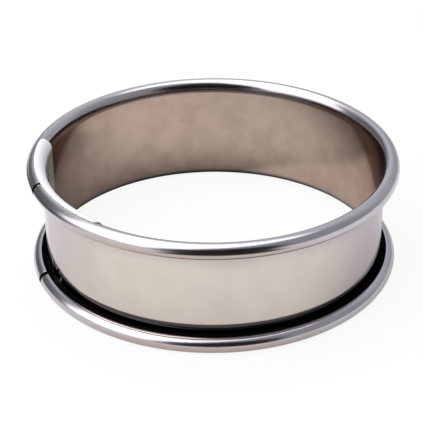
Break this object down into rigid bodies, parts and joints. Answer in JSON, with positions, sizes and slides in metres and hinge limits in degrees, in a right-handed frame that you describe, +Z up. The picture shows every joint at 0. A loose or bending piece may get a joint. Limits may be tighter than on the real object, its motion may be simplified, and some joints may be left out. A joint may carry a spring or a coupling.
{
  "type": "cake ring",
  "caption": "Low round steel hoop for shaping cakes and batter, with a bead rolled outwards along each edge and a butted seam bridged by an inside strap.",
  "frame": {"origin": "middle of the circle that the ring stands on, in the plane of the lower bead's flat", "axes": "+Z up along the ring's own axis, -X towards the seam and its strap, +Y completes a right-handed frame"},
  "size_m": [0.08, 0.08, 0.0255],
  "materials": {
    "polished_steel": "soft mirror polish with faint rolling lines",
    "brushed_steel": "pale, with slanting brush marks",
    "weld_steel": "dull, dished and faintly heat tinted"
  },
  "bodies": {
    "root": {"rolled_band": "polished_steel", "splice_strap": "brushed_steel", "spot_weld_1": "weld_steel", "spot_weld_2": "weld_steel", "spot_weld_3": "weld_steel", "spot_weld_4": "weld_steel", "spot_weld_5": "weld_steel", "spot_weld_6": "weld_steel", "spot_weld_7": "weld_steel", "spot_weld_8": "weld_steel"}
  },
  "joints": []
}
